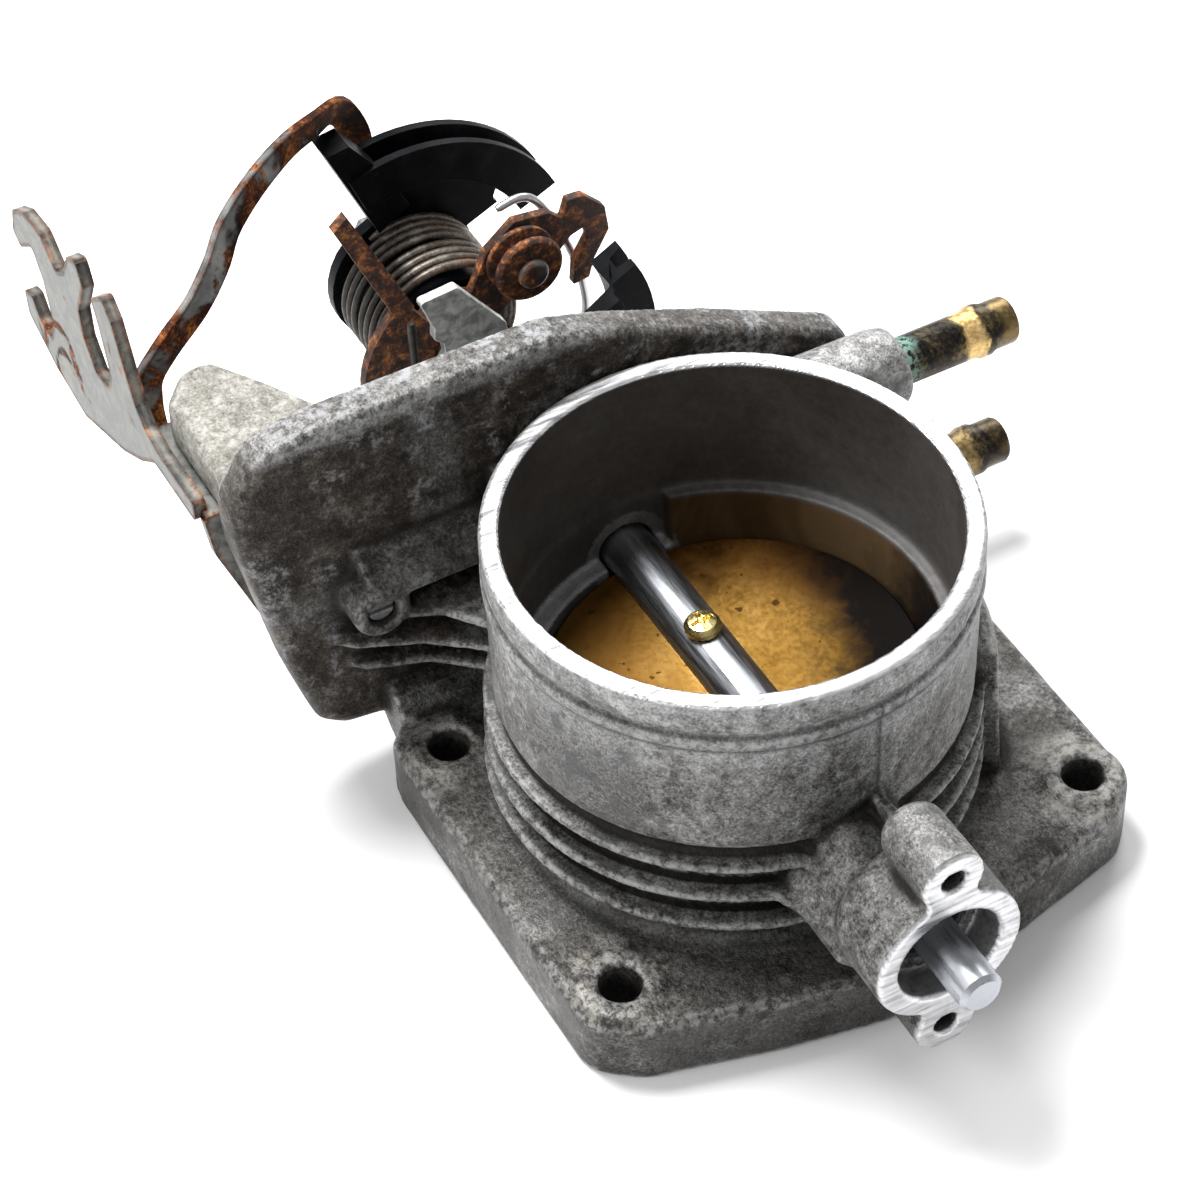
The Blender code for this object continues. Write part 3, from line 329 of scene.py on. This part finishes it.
def spring_material():
    s = Shade("spring_wire_dull")
    mid, fine = s.noise(230, 4, 0.65, 0.6), s.noise(1400, 4, 0.65)
    col = s.ramp(s.m("ADD", s.m("MULTIPLY", mid, 0.6), s.m("MULTIPLY", fine, 0.4)), [(0.32, (0.050, 0.038, 0.028)), (0.48, (0.17, 0.145, 0.12)), (0.62, (0.34, 0.31, 0.27)), (0.75, (0.50, 0.47, 0.43))])
    rust = s.rng(s.noise(110, 4, 0.65, 0.5), 0.56, 0.66)
    col = s.mix(s.m("MULTIPLY", rust, 0.7), col, (0.12, 0.045, 0.016))
    x, y, z = s.xyz()
    # painted shade: the coils on the -Y side are darkened to near black
    col = s.mix(s.rng(s.m("ADD", y, s.m("MULTIPLY", s.m("SUBTRACT", mid, 0.5), 0.006)), -0.0060, -0.0135, 0.0, 0.90), col, (0.008, 0.007, 0.006))
    s.principled(Base_Color=col, Metallic=s.blend(rust, 0.75, 0.2), Roughness=s.rng(fine, 0.3, 0.7, 0.34, 0.58), Normal=s.bump(fine, 0.35, 0.00008))
    return s.mat


def pipe_material(tip_y, shine=1.0):
    s = Shade(f"brass_pipe_patina_{int(tip_y * 1000)}")
    x, y, z = s.xyz()
    mid, fine = s.noise(190, 5, 0.65, 0.6), s.noise(1100, 4, 0.65)
    warped = s.m("ADD", y, s.m("MULTIPLY", s.m("SUBTRACT", mid, 0.5), 0.006))
    dark = s.ramp(s.m("ADD", s.m("MULTIPLY", mid, 0.6), s.m("MULTIPLY", fine, 0.4)), [(0.40, (0.008, 0.007, 0.0065)), (0.5, (0.030, 0.024, 0.017)), (0.60, (0.12, 0.088, 0.042))])
    gold = s.ramp(fine, [(0.32, (0.50, 0.29, 0.08)), (0.66, (0.86, 0.64, 0.30))])
    band = s.m("MULTIPLY", s.rng(warped, tip_y - 0.0132, tip_y - 0.0116), s.rng(warped, tip_y - 0.0078, tip_y - 0.0092))
    tip = s.rng(warped, tip_y - 0.0052, tip_y - 0.0034)
    col = s.mix(s.m("MULTIPLY", band, 0.95 * shine), dark, gold)
    col = s.mix(s.m("MULTIPLY", tip, 0.34 * shine), col, s.ramp(mid, [(0.35, (0.20, 0.12, 0.035)), (0.65, (0.48, 0.33, 0.12))]))
    green = s.m("MULTIPLY", s.rng(warped, tip_y - 0.0225, tip_y - 0.0262), s.rng(fine, 0.40, 0.56))
    col = s.mix(s.m("MULTIPLY", green, 0.85), col, (0.17, 0.33, 0.27))
    s.principled(Base_Color=col, Metallic=s.blend(green, 0.85, 0.0), Roughness=s.rng(s.m("ADD", fine, s.m("MULTIPLY", green, 0.4)), 0.3, 1.0, 0.30, 0.7), Normal=s.bump(fine, 0.35, 0.00009))
    return s.mat


def welded(node, dissolve=0.6):
    bm = bmesh.new()
    bm.from_mesh(NODES[node].data)
    bmesh.ops.remove_doubles(bm, verts=bm.verts, dist=3e-6)
    bmesh.ops.dissolve_degenerate(bm, dist=1e-6, edges=bm.edges)
    if dissolve:
        bmesh.ops.dissolve_limit(bm, angle_limit=math.radians(dissolve), verts=bm.verts, edges=bm.edges)
    mesh = bpy.data.meshes.new(node + "_shown")
    for face in bm.faces:
        face.smooth = True
    bm.to_mesh(mesh)
    bm.free()
    return mesh


def show(mesh, name, nodes, mat, bevel=0.0, angle=34.0, sharp=None):
    """Puts a finished mesh in the scene in place of the CAD nodes it stands for."""
    nodes = [nodes] if isinstance(nodes, str) else nodes
    obj = bpy.data.objects.new(name, mesh)
    bpy.context.scene.collection.objects.link(obj)
    mesh.materials.clear()
    mesh.materials.append(mat)
    if bevel:
        mod = obj.modifiers.new("edges", "BEVEL")
        mod.width, mod.segments, mod.limit_method, mod.angle_limit = bevel, 2, "ANGLE", math.radians(angle)
        mod.miter_outer = "MITER_ARC"
        mod.use_clamp_overlap = True
        weigh = obj.modifiers.new("flats", "WEIGHTED_NORMAL")
        weigh.keep_sharp = False
        weigh.weight = 60
    elif sharp:
        mesh.set_sharp_from_angle(angle=math.radians(sharp))
    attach(obj, BODY_OF[nodes[0]])
    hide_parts(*nodes)
    return obj


def tube_mesh(name, path, radius, sides=12):
    path = [Vector(p) for p in path]
    bm = bmesh.new()
    tangent = (path[1] - path[0]).normalized()
    side = tangent.orthogonal().normalized()
    rings = []
    for i, p in enumerate(path):
        new = (path[min(i + 1, len(path) - 1)] - path[max(i - 1, 0)]).normalized()
        side = (tangent.rotation_difference(new) @ side).normalized()
        tangent = new
        up = tangent.cross(side)
        rad = radius * (0.72 if i in (0, len(path) - 1) else 1.0)
        rings.append([bm.verts.new(p + rad * (side * math.cos(a) + up * math.sin(a))) for a in (2 * math.pi * k / sides for k in range(sides))])
    for a, b in zip(rings, rings[1:]):
        for k in range(sides):
            bm.faces.new((a[k], a[(k + 1) % sides], b[(k + 1) % sides], b[k])).smooth = True
    bm.faces.new(rings[0][::-1])
    bm.faces.new(rings[-1])
    bmesh.ops.recalc_face_normals(bm, faces=bm.faces)
    mesh = bpy.data.meshes.new(name)
    bm.to_mesh(mesh)
    bm.free()
    mesh.set_sharp_from_angle(angle=math.radians(50))
    return mesh


def curve_through(points, per=8):
    pts = [Vector(p) for p in points]
    pts = [2 * pts[0] - pts[1]] + pts + [2 * pts[-1] - pts[-2]]
    out = []
    for i in range(1, len(pts) - 2):
        a, b, c, d = pts[i - 1 : i + 3]
        for k in range(per):
            t = k / per
            out.append(0.5 * ((2 * b) + (c - a) * t + (2 * a - 5 * b + 4 * c - d) * t * t + (3 * b - a - 3 * c + d) * t ** 3))
    out.append(pts[-2])
    return out


def coords(mesh):
    co = np.empty(len(mesh.vertices) * 3, np.float32)
    mesh.vertices.foreach_get("co", co)
    return co.reshape(-1, 3).astype(np.float64)


def normals(mesh):
    no = np.empty(len(mesh.vertices) * 3, np.float32)
    mesh.vertices.foreach_get("normal", no)
    return no.reshape(-1, 3).astype(np.float64)


def put_attribute(mesh, name, values):
    at = mesh.attributes.new(name, "FLOAT", "POINT")
    at.data.foreach_set("value", np.clip(values, 0, 1).astype(np.float32))


def step(v, low, high):
    t = np.clip((v - low) / (high - low), 0, 1)
    return t * t * (3 - 2 * t)


# ------------------------------------------------------------------ the casting
def casting():
    base = welded("body_casting", 0.0)
    tmp = bpy.data.objects.new("tmp_casting", base)
    bpy.context.scene.collection.objects.link(tmp)
    mod = tmp.modifiers.new("remesh", "REMESH")
    mod.mode = "VOXEL"
    mod.voxel_size = 0.00062
    mod.use_smooth_shade = True
    graph = bpy.context.evaluated_depsgraph_get()
    mesh = bpy.data.meshes.new_from_object(tmp.evaluated_get(graph))
    bpy.data.objects.remove(tmp, do_unlink=True)
    mesh.name = "casting"
    P = coords(mesh)
    count = len(P)
    edges = np.empty(len(mesh.edges) * 2, np.int64)
    mesh.edges.foreach_get("vertices", edges)
    edges = edges.reshape(-1, 2)
    a, b = np.concatenate([edges[:, 0], edges[:, 1]]), np.concatenate([edges[:, 1], edges[:, 0]])
    degree = np.maximum(np.bincount(a, minlength=count), 1)[:, None]

    def average(v):
        return np.stack([np.bincount(a, weights=v[b, k], minlength=count) for k in range(v.shape[1])], 1) / degree

    N = normals(mesh)
    D = P * 1000 - SHIFT
    R = np.hypot(D[:, 0], D[:, 1])
    S = np.hypot(D[:, 1], D[:, 2] - SHAFT_Z)
    x, y, z = D.T
    rim = step(z, -1.6, -0.8) * (R < 49)
    bead = step(z, -14.0, -12.5) * (R > 45) * (R < 49)
    face = step(x, 77.2, 78.2)
    fins = step(-z, 38.5, 40.0) * step(z, -64.5, -63.0) * (R < 51.5) * (R > 43.2)
    tunnel = (R < 44.6) & (z > -80)
    soft = 0.5 - 0.38 * np.maximum.reduce([rim, face, bead * 0.85, fins * 0.72, tunnel * 1.0])
    soft = soft[:, None]
    V = P.copy()
    for _ in range(7):
        V = V + soft * (average(V) - V)
    # flat machined planes stay flat
    w = rim * step(N[:, 2], 0.60, 0.95)
    V[:, 2] += w * (SHIFT[2] / 1000 - V[:, 2])
    w = face * step(N[:, 0], 0.60, 0.95)
    V[:, 0] += w * ((79.1 + SHIFT[0]) / 1000 - V[:, 0])
    # round what is turned on the bore axis
    turned = ((z > -44.9) & (z < -1.0) & (R > 43.6) & (R < 44.4))
    now = np.hypot(V[:, 0] * 1000 - SHIFT[0], V[:, 1] * 1000 - SHIFT[1])
    pull = np.where(turned & (z > -31.0), 44.0 / np.maximum(now, 1), 1.0)
    V[:, 0] = ((V[:, 0] * 1000 - SHIFT[0]) * pull + SHIFT[0]) / 1000
    V[:, 1] = ((V[:, 1] * 1000 - SHIFT[1]) * pull + SHIFT[1]) / 1000
    # slow waves of a die-cast skin
    skin = 1.0 - np.maximum.reduce([rim, face, tunnel * 1.0])
    wave = np.array([noise.noise(Vector(p) * 130.0) + 0.5 * noise.noise(Vector(p) * 330.0) for p in V])
    V = V + N * (wave * skin * 0.00007)[:, None]
    V[:, 2] = np.maximum(V[:, 2], 0.0)
    mesh.vertices.foreach_set("co", V.astype(np.float32).ravel())
    mesh.update()
    # curvature at two scales
    W = V.copy()
    for _ in range(5):
        W = average(W)
    near = ((W - V) * N).sum(1) * 1000
    for _ in range(34):
        W = average(W)
    far = ((W - V) * N).sum(1) * 1000
    put_attribute(mesh, "edge", np.clip(-near / 0.16, 0, 1))
    outward = (N[:, 0] * x + N[:, 1] * y) / np.maximum(R, 1) > -0.3
    # fin gaps: painted shade between the fins, added to the cav darkening
    gap = step(46.9 - R, 0.0, 1.2) * step(-z, 39.6, 41.0) * step(z, -64.0, -62.5) * (R > 42.9) * outward * (z < -46.6)
    gap = np.maximum(gap, step(46.9 - R, 0.0, 1.2) * (z > -46.7) * (z < -39.8) * (R > 43.6) * ((N[:, 0] * x + N[:, 1] * y) / np.maximum(R, 1) > 0.15))
    put_attribute(mesh, "cav", np.clip(np.maximum(far / 1.1, 0.78 * gap), 0, 1))
    mach = np.maximum(step(z, -0.75, -0.25) * (R < 49) * step(R, 43.3, 43.9) * step(N[:, 2], 0.15, 0.55), step(x, 78.35, 78.85) * step(N[:, 0], 0.1, 0.6))
    mach = np.maximum(mach, ((x > 71.2) & (S < 11.3) & (S > 8.0)) * 0.45)
    put_attribute(mesh, "mach", mach)
    inside = (R < 44.35) & (z < -0.3) & (z > -82.5)
    ledge_and_cup_highlight = inside * step(N[:, 2], 0.45, 0.85) * np.maximum((y < 8.4) * step(-z, 41.5, 42.5), (y > 8.0) * (z < -30.5) * (z > -34.0) * 0.10)
    # painted highlight: the cup round the shaft entry, on faces turned to +X and up, is lightened like a lit crescent
    # and joined to the machined ledge mask
    cup_highlight = inside * (S < 9.6) * (x < -37.5) * (z > -46) * step(N[:, 0] + 0.6 * N[:, 2], 0.25, 0.8)
    ledge_and_cup_highlight = np.maximum(ledge_and_cup_highlight, cup_highlight * 0.28)
    put_attribute(mesh, "bore", inside * (1 - ledge_and_cup_highlight))
    put_attribute(mesh, "ledge_and_cup_highlight", ledge_and_cup_highlight)
    put_attribute(mesh, "tan", inside * step(y, 8.0, 9.0) * step(-z, 32.2, 33.2))
    wall = step(-x, 47.5, 50.0) * (N[:, 0] > -0.3) * step(9.5 - z, 0.0, 3.0) * step(z + 72.0, 0, 4)
    wall = np.maximum(wall, (x < -38) * (x > -58) * (z > -64) * (z < -16) * step(R, 46.5, 49.5) * 0.8)
    put_attribute(mesh, "wall", wall * (R > 47.9))
    put_attribute(mesh, "band", (x < -49) * (x > -60) * step(N[:, 2], 0.3, 0.8))
    put_attribute(mesh, "lug", step(-x, 57.5, 60) * (y < -40))
    put_attribute(mesh, "flange", (z < -66.5) * (R > 50))
    seat = np.zeros(count)
    for sx in (-1, 1):
        for sy in (-1, 1):
            away = np.hypot(x - (2.8 + sx * 35.6), y - (5.4 + sy * 52.8))
            seat = np.maximum(seat, step(14.5 - away, 0, 5))
    put_attribute(mesh, "seat", seat * (z < -64) * step(N[:, 2], 0.3, 0.8) * (R > 50))
    seam = np.abs(x * math.sin(math.radians(4.3)) - y * math.cos(math.radians(4.3)))
    put_attribute(mesh, "seam", np.maximum((1 - step(seam, 0.15, 0.65)) * (x > 40) * (z < -8.0) * (z > -39.0), 0.8 * (x > -36) * np.maximum(1 - step(np.abs(z + 8.5), 0.2, 0.6), 1 - step(np.abs(z + 12.1), 0.25, 0.75))) * (R < 48.9) * (R > 46))
    return show(mesh, "casting", "body_casting", cast_material())


CASTING = casting()

# ------------------------------------------------------------------ shaft, plate, screws, seals
SHAFT_MAT = steel_material("ground_steel_shaft", 0.46, 0.34, (0.06, 1, 1), 0.15, (0.95, 0.99, 1.05))
STEEL = steel_material("plain_steel", 0.42, 0.34, (1, 1, 1), 0.5)
BUSH = steel_material("bronze_bush", 0.52, 0.35, (1, 1, 1), 0.5, (1.0, 0.80, 0.42))
YELLOW = steel_material("yellow_zinc_screw", 0.80, 0.26, (1, 1, 1), 0.12, (1.0, 0.80, 0.33))
RUST = rust_material("rusted_lever_steel", 1.0, scale=1.2)
ROLLER = rust_material("rusted_roller_steel", 1.15, scale=1.5, dark=0.25)
ZINC = rust_material("zinc_bracket_rust_edges", 0.26, (0.155, 0.158, 0.145), 0.75, 0.35, 0.42, 0.12)
STRAP = rust_material("strap_zinc_and_rust", 0.72, (0.22, 0.225, 0.22), 0.46, 0.35, 0.05, 0.12)
PIN = rust_material("rusted_rivet_head", 0.42, (0.10, 0.092, 0.085), 1.6, 0.5)
TAB = rust_material("zinc_lever_clean", 0.02, (0.50, 0.51, 0.48), 1.0, 0.1)
HARDWARE = rust_material("zinc_hardware_dulled", 0.22, (0.26, 0.26, 0.25), 1.2, 0.4, 0.06, 0.6)
BRIGHT_WIRE = steel_material("bright_link_wire", 0.46, 0.34, (1, 1, 1), 0.4)
NYLON, RUBBER, SPRING = plastic_material(), rubber_material(), spring_material()

show(welded("throttle_shaft"), "shaft", "throttle_shaft", SHAFT_MAT, bevel=0.00025)
show(welded("throttle_plate"), "plate", "throttle_plate", plate_material(), bevel=0.00015)
for k in (1, 2):
    show(welded(f"plate_screw_{k}"), f"plate_screw_pan_{k}", f"plate_screw_{k}", YELLOW, bevel=0.00012, angle=28)
show(welded("bearing_sensor_end"), "bush_sensor", "bearing_sensor_end", BUSH, bevel=0.0002)
show(welded("bearing_lever_end"), "bush_lever", "bearing_lever_end", BUSH, bevel=0.0002)
show(welded("seal_sensor_end"), "lip_seal_sensor", "seal_sensor_end", RUBBER, bevel=0.0001)
show(welded("seal_lever_end"), "lip_seal_lever", "seal_lever_end", RUBBER, bevel=0.0001)

# ------------------------------------------------------------------ linkage
show(welded("cable_pulley"), "pulley_main", "cable_pulley", NYLON, bevel=0.00035)
show(welded("second_pulley"), "pulley_second", "second_pulley", NYLON, bevel=0.00035)
show(welded("shaft_lever"), "lever_shaft", "shaft_lever", TAB, bevel=0.0003)
show(welded("accelerator_lever"), "lever_accelerator", "accelerator_lever", RUST, bevel=0.0003)
show(welded("roller_lever"), "lever_roller", "roller_lever", RUST, bevel=0.0003)
show(welded("guide_roller"), "roller_wheel", "guide_roller", ROLLER, bevel=0.0003)
show(welded("roller_pin"), "roller_rivet", "roller_pin", PIN, bevel=0.0003)
show(welded("shaft_washer"), "washer", "shaft_washer", HARDWARE, bevel=0.0002)
show(welded("shaft_nut"), "nut", "shaft_nut", HARDWARE, bevel=0.0003)


def coil(x0, x1, turns, end_deg, r=16.1, per=44):
    n = int(turns * per)
    out = []
    for k in range(n + 1):
        t = math.radians(end_deg - 360.0 * turns * (1 - k / n))
        out.append(row(x0 + (x1 - x0) * k / n, r * math.sin(t), SHAFT_Z + r * math.cos(t)))
    return out


leg = curve_through([row(*p) for p in [(-119.0, -3.6, -60.9), (-113.0, -4.3, -61.6), (-107.6, -6.2, -61.4), (-105.9, -11.0, -57.0), (-105.8, -14.6, -49.0), (-105.8, -15.6, -38.0), (-105.9, -15.8, -24.0)]], 8)
show(tube_mesh("spring_front_wire", coil(-131.8, -122.0, 3.9, -172.0) + leg, 0.00095), "spring_front_wire", "return_spring_front", SPRING)
show(tube_mesh("spring_rear_wire", coil(-141.6, -134.0, 3.25, 60.0), 0.00095), "spring_rear_wire", "return_spring_rear", SPRING)
link = curve_through([row(*p) for p in [(-123.5, 14.0, -18.5), (-123.4, 19.5, -17.6), (-123.3, 23.4, -20.2), (-123.2, 27.6, -28.0), (-123.2, 32.0, -40.0), (-123.2, 34.2, -52.0), (-123.2, 33.5, -60.0)]], 8)
show(tube_mesh("link_bright_wire", link, 0.00095), "link_bright_wire", "link_wire", BRIGHT_WIRE)

# ------------------------------------------------------------------ bracket, strap, screws, pipes
show(welded("cable_bracket"), "bracket_plate", "cable_bracket", ZINC, bevel=0.0004)
show(welded("cable_guard_strap"), "strap_bar", "cable_guard_strap", STRAP, bevel=0.0003)
for k in (1, 2):
    show(welded(f"bracket_screw_{k}"), f"bracket_bolt_{k}", f"bracket_screw_{k}", HARDWARE, bevel=0.0002)
show(welded("bypass_screw"), "bypass_plug", "bypass_screw", STEEL, bevel=0.0002)
for end in ("upper", "lower"):
    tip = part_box(f"coolant_pipe_{end}")[1].y
    show(welded(f"coolant_pipe_{end}"), f"pipe_{end}", f"coolant_pipe_{end}", pipe_material(tip, 1.0 if end == "upper" else 0.30), bevel=0.0002)

# ------------------------------------------------------------------ floor, light, camera
scene = bpy.context.scene
floor_mat = Shade("pale_floor")
floor_mat.principled(Base_Color=floor_mat.ramp(floor_mat.noise(3, 2), [(0.3, (0.87, 0.87, 0.88)), (0.7, (0.90, 0.90, 0.905))]), Roughness=0.6)
bm = bmesh.new()
bmesh.ops.create_grid(bm, x_segments=2, y_segments=2, size=6.0)
floor_mesh = bpy.data.meshes.new("floor")
bm.to_mesh(floor_mesh)
bm.free()
floor_mesh.materials.append(floor_mat.mat)
floor = bpy.data.objects.new("floor", floor_mesh)
floor.location = (0, 0, -0.0002)
scene.collection.objects.link(floor)

world = bpy.data.worlds.new("studio")
world.use_nodes = True
world.node_tree.nodes["Background"].inputs["Color"].default_value = (1.0, 1.0, 1.0, 1.0)
world.node_tree.nodes["Background"].inputs["Strength"].default_value = 0.55
scene.world = world

RIGHT, UP, BACK = Vector((0.48174, 0.87576, -0.03107)), Vector((-0.61726, 0.36428, 0.69734)), Vector((0.62203, -0.31676, 0.71606))


def soft_light(name, direction, distance, size, power, target=(0, 0, 0.04)):
    lamp = bpy.data.lights.new(name, "AREA")
    lamp.shape, lamp.size, lamp.energy = "DISK", size, power
    obj = bpy.data.objects.new(name, lamp)
    at = Vector(target) + direction.normalized() * distance
    obj.matrix_world = Matrix.Translation(at) @ (Vector(target) - at).to_track_quat("-Z", "Y").to_matrix().to_4x4()
    scene.collection.objects.link(obj)


soft_light("key_above", Vector((-0.45, -0.15, 1.0)), 0.9, 0.45, 15.0)
soft_light("side_left", Vector((-0.1, -1.0, 0.75)), 1.1, 0.5, 4.5)
soft_light("back_rim", Vector((-0.9, 0.9, 0.8)), 1.2, 0.5, 6.0)

cam_data = bpy.data.cameras.new("camera")
cam_data.lens, cam_data.sensor_width, cam_data.sensor_fit = 113.012, 36.0, "AUTO"
cam_data.clip_start, cam_data.clip_end = 0.05, 50.0
cam = bpy.data.objects.new("camera", cam_data)
place = Vector((0.47182, -0.25785, 0.58066))
cam.matrix_world = Matrix(((RIGHT.x, UP.x, BACK.x, place.x), (RIGHT.y, UP.y, BACK.y, place.y), (RIGHT.z, UP.z, BACK.z, place.z), (0, 0, 0, 1)))
scene.collection.objects.link(cam)
scene.camera = cam
scene.view_settings.view_transform = "Standard"
scene.view_settings.look = "None"

bpy.context.view_layer.update()
